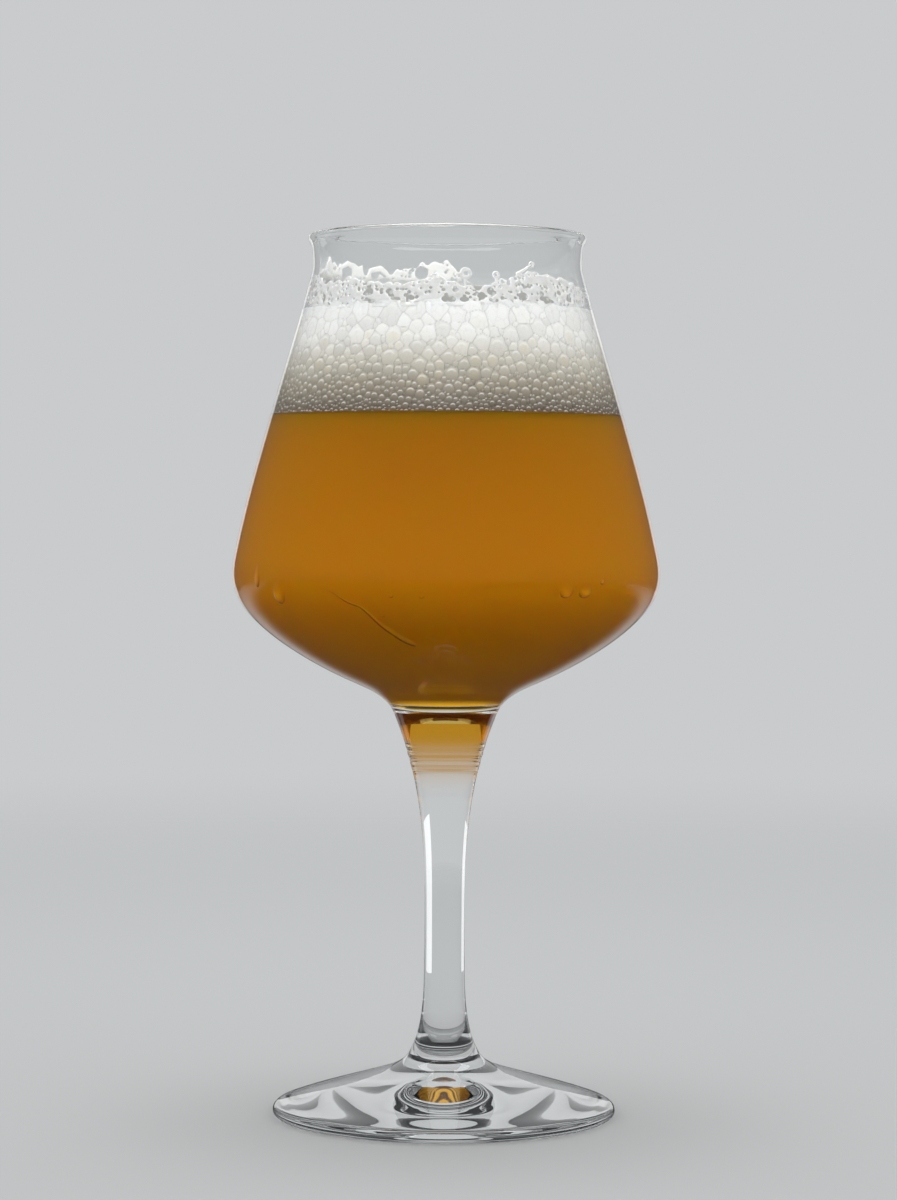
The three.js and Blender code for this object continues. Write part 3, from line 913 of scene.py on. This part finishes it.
def run_rings():
    """Rings of the run: a low round ridge of water along its path, thin at its top and full at its end."""
    path = spline(np.array(DEW_RUN), 5)
    turn, height = np.radians(path[:, 0]), path[:, 1] * MM
    along = np.linspace(0, 1, len(path))
    round_ends = np.sqrt(np.clip(1 - ((along - 0.55) / 0.47)**8, 0.02, 1))
    half = 0.5 * DEW_RUN_WIDTH * (0.3 + 0.7 * along) * round_ends
    radius = wall_radius(height, outer_wall)
    heading = np.stack([np.gradient(turn) * radius, np.gradient(height)], axis=1)
    heading /= np.linalg.norm(heading, axis=1)[:, None]
    around = np.arange(RUN_POINTS) / RUN_POINTS * FULL_TURN
    rings = [wall_spot(turn[:1], height[:1], -DROP_SINK)]
    for i in range(len(path)):
        side = half[i] * np.cos(around)
        lift = np.where(np.sin(around) > 0, 0.5 * half[i] * np.sin(around), 0) - DROP_SINK
        spot_turn = turn[i] - side * heading[i, 1] / radius[i]
        rings.append(wall_spot(spot_turn, height[i] + side * heading[i, 0], lift))
    rings.append(wall_spot(turn[-1:], height[-1:], -DROP_SINK))
    # Painted shade along the run's lower side, and painted glow along its upper side.
    lower_side = np.clip(-np.cos(around), 0, 1)
    upper_side = 0.4 * np.clip(np.cos(around), 0, 1)
    steep = np.concatenate([[0], np.tile(lower_side, len(path)), [0]])
    gathered = np.concatenate([[0], np.tile(upper_side, len(path)), [0]])
    return rings, steep, gathered


def dew_pieces():
    """Drops of dew round the belly, and one run, each with a hidden back in the wall that doesn't show."""
    drops = [
        (math.radians(azimuth), height * MM, width * MM, length * MM, math.radians(lean))
        for azimuth, height, width, length, lean in DEW_DROPS
    ]
    for turn in np.linspace(*BACK_DROP_TURNS, BACK_DROPS):
        width = random.uniform(*BACK_DROP_WIDTHS) * MM
        height = random.uniform(*BACK_DROP_HEIGHTS) * MM
        drops.append((turn + random.uniform(-0.06, 0.06), height, width, width * random.uniform(1, 1.8), 0))
    shapes = {f"dew_drop_{number:02d}": drop_rings(*drop) for number, drop in enumerate(drops, 1)}
    shapes["dew_run"] = run_rings()
    for name, (rings, steep, gathered) in shapes.items():
        mesh = skin(name, rings, [water, joint], [name != "dew_run"] + [0] * (len(rings) - 2))
        paint(mesh, steep_edge=steep, gathered_light=gathered)
        place(mesh, "glass")


dew_pieces()


# Camera, stage and light. Lengths here are in metres.

BACKDROP = linear("#c9cbcc")
FLOOR_PAINT = linear("#b0b2b3")
FLOOR_PAINT_REFLECTED = linear("#303234")
FILL_LIGHT = 1.05
REFLECTED_SHARE = 0.15
FLOOR_RADIUS = 1.2
FLOOR_CLEAR = 0.35
FLOOR_DROP = 0.05 * MM
FLOOR_POINTS = 96
PALE_BEHIND = (0.15, 0.35)
LIGHT_BOUNCES = 32


def photograph_camera():
    """A camera at the photograph's eye height and distance, aimed so that eye level falls on its row."""
    data = bpy.data.cameras.new("camera")
    data.sensor_fit = "VERTICAL"
    data.lens = data.sensor_height * FOCAL_LENGTH_PIXELS / PHOTO_HEIGHT
    data.clip_start = 10 * MM
    camera = bpy.data.objects.new("camera", data)
    bpy.context.scene.collection.objects.link(camera)
    pitch = math.atan((PHOTO_HEIGHT / 2 - EYE_LEVEL_ROW) / FOCAL_LENGTH_PIXELS)
    aside = (PHOTO_WIDTH / 2 - AXIS_COLUMN) / FOCAL_LENGTH_PIXELS * CAMERA_DISTANCE
    camera.matrix_world = (
        Matrix.Translation((aside, -CAMERA_DISTANCE, EYE_HEIGHT))
        @ Matrix.Rotation(math.pi / 2 - pitch, 4, "X")
        @ Matrix.Rotation(CAMERA_ROLL, 4, "Z")
    )
    bpy.context.scene.camera = camera


def studio_world():
    """A pale surround. Reflections show it dimmer, as a dark room does, which draws the glass's edges."""
    world = bpy.data.worlds.new("studio")
    bpy.context.scene.world = world
    world.use_nodes = True
    tree = world.node_tree
    tree.nodes.clear()
    rays = add_node(tree, "LightPath")
    mirror = add_node(tree, "Math", {
        0: rays.outputs["Is Glossy Ray"], 1: rays.outputs["Is Transmission Ray"],
    }, operation="SUBTRACT", use_clamp=True)
    mirrored = add_node(tree, "Mix", {0: mirror.outputs[0], 2: 1.0, 3: REFLECTED_SHARE})
    shown = add_node(tree, "Background", {"Color": BACKDROP, "Strength": mirrored.outputs[0]})
    fill = add_node(tree, "Background", {"Color": linear("#ffffff"), "Strength": FILL_LIGHT})
    bent = add_node(tree, "Math", {
        0: rays.outputs["Is Glossy Ray"], 1: rays.outputs["Is Transmission Ray"],
    }, operation="MAXIMUM")
    first = add_node(tree, "Math", {0: rays.outputs["Diffuse Depth"], 1: 0.5}, operation="LESS_THAN")
    looked = add_node(tree, "Math", {0: bent.outputs[0], 1: first.outputs[0]}, operation="MULTIPLY")
    seen = add_node(tree, "Math", {
        0: rays.outputs["Is Camera Ray"], 1: looked.outputs[0],
    }, operation="MAXIMUM")
    both = add_node(tree, "MixShader", {0: seen.outputs[0], 1: fill.outputs[0], 2: shown.outputs[0]})
    add_node(tree, "OutputWorld", {"Surface": both.outputs[0]})
    world.cycles.sampling_method = "NONE"


def studio_floor():
    """A pale painted floor that fades into the backdrop. In reflections only its far side is pale."""
    material, tree = new_material("pale studio floor")
    place_of = add_node(tree, "TexCoord")
    distance = add_node(tree, "VectorMath", {0: place_of.outputs["Object"]}, operation="LENGTH")
    fade = add_node(tree, "MapRange", {
        "Value": distance.outputs["Value"], "From Min": FLOOR_CLEAR, "From Max": 0.9 * FLOOR_RADIUS,
    }, interpolation_type="SMOOTHSTEP")
    rays = add_node(tree, "LightPath")
    axes = add_node(tree, "SeparateXYZ", {0: place_of.outputs["Object"]})
    beside = add_node(tree, "MapRange", {
        "Value": axes.outputs["Y"], "From Min": PALE_BEHIND[1], "From Max": PALE_BEHIND[0],
    }, interpolation_type="SMOOTHSTEP")
    mirrored = add_node(tree, "Math", {0: rays.outputs["Glossy Depth"], 1: 1.0}, operation="MINIMUM")
    dimmed = add_node(tree, "Math", {0: mirrored.outputs[0], 1: beside.outputs[0]}, operation="MULTIPLY")
    shade = add_node(tree, "Mix", {
        0: dimmed.outputs[0], 6: FLOOR_PAINT, 7: FLOOR_PAINT_REFLECTED,
    }, data_type="RGBA")
    painted = add_node(tree, "BsdfPrincipled", {
        "Base Color": shade.outputs[2], "Roughness": 0.9, "Specular IOR Level": 0.0,
    })
    beyond = add_node(tree, "BsdfTransparent")
    surface = add_node(tree, "MixShader", {0: fade.outputs[0], 1: painted.outputs[0], 2: beyond.outputs[0]})
    add_node(tree, "OutputMaterial", {"Surface": surface.outputs[0]})
    rings = [ring(0, -FLOOR_DROP, 1), ring(FLOOR_RADIUS, -FLOOR_DROP, FLOOR_POINTS)]
    mesh = skin("floor", rings, [material])
    floor = bpy.data.objects.new("floor", mesh)
    bpy.context.scene.collection.objects.link(floor)


def soft_box(name, place_at, aim, width, height, radiance):
    """A soft box that points at a place. At a radiance of 1 it mirrors as white."""
    data = bpy.data.lights.new(name, "AREA")
    data.shape = "RECTANGLE"
    data.size, data.size_y = width, height
    data.energy = radiance * math.pi * width * height
    lamp = bpy.data.objects.new(name, data)
    bpy.context.scene.collection.objects.link(lamp)
    lamp.location = place_at
    lamp.rotation_euler = (Vector(aim) - Vector(place_at)).to_track_quat("-Z", "Y").to_euler()
    lamp.visible_camera = False
    return lamp


def light_only(lamp, *pieces):
    """Lets a lamp light some pieces and nothing else, as flags beside it do in a studio."""
    lit = bpy.data.collections.new("lit by the " + lamp.name)
    for piece in pieces:
        lit.objects.link(piece)
    lamp.light_linking.receiver_collection = lit


def studio_lamps():
    """Plain fills, and boxes that draw edges: one the rim's, two the bowl's and two the stem's."""
    pieces = [thing for thing in bpy.data.objects if thing.type == "MESH" and thing.name != "floor"]
    middle = (0, 0, 0.12)
    stem_middle = (0, 0, 0.042)
    overhead = soft_box("overhead fill", (0, 0.1, 0.85), middle, 0.5, 0.5, 2.6)
    overhead.data.cycles.use_multiple_importance_sampling = False
    mirrored = (
        soft_box("rim box", (0, 0.1, 0.85), middle, 0.8, 0.8, 2.6),
        soft_box("left edge box", (-0.205, 0.67, 0.35), middle, 0.16, 0.7, 0.8),
        soft_box("right edge box", (0.205, 0.67, 0.35), middle, 0.16, 0.7, 0.8),
    )
    for box in mirrored:
        box.visible_transmission = False
        box.visible_diffuse = False
    for place_at, width in (((-0.166, 0.112, 0.042), 0.08), ((0.126, 0.155, 0.042), 0.085)):
        low = soft_box("stem box", place_at, stem_middle, width, 0.08, 0.5)
        light_only(low, bpy.data.objects["stem_glass"])
    fills = (
        soft_box("left fill", (-0.8, 0.1, 0.2), middle, 0.4, 0.6, 0.8),
        soft_box("right fill", (0.8, 0.1, 0.2), middle, 0.4, 0.6, 0.8),
        soft_box("front fill", (0, -1.1, 0.5), middle, 0.8, 0.8, 1.35),
    )
    for fill in fills:
        fill.data.cycles.use_multiple_importance_sampling = False
        light_only(fill, *pieces)


photograph_camera()
studio_world()
studio_floor()
studio_lamps()

scene = bpy.context.scene
scene.view_settings.view_transform = "Standard"
scene.cycles.use_denoising = True
scene.cycles.caustics_reflective = False
scene.cycles.max_bounces = LIGHT_BOUNCES
scene.cycles.glossy_bounces = LIGHT_BOUNCES
scene.cycles.transmission_bounces = LIGHT_BOUNCES
scene.cycles.transparent_max_bounces = LIGHT_BOUNCES
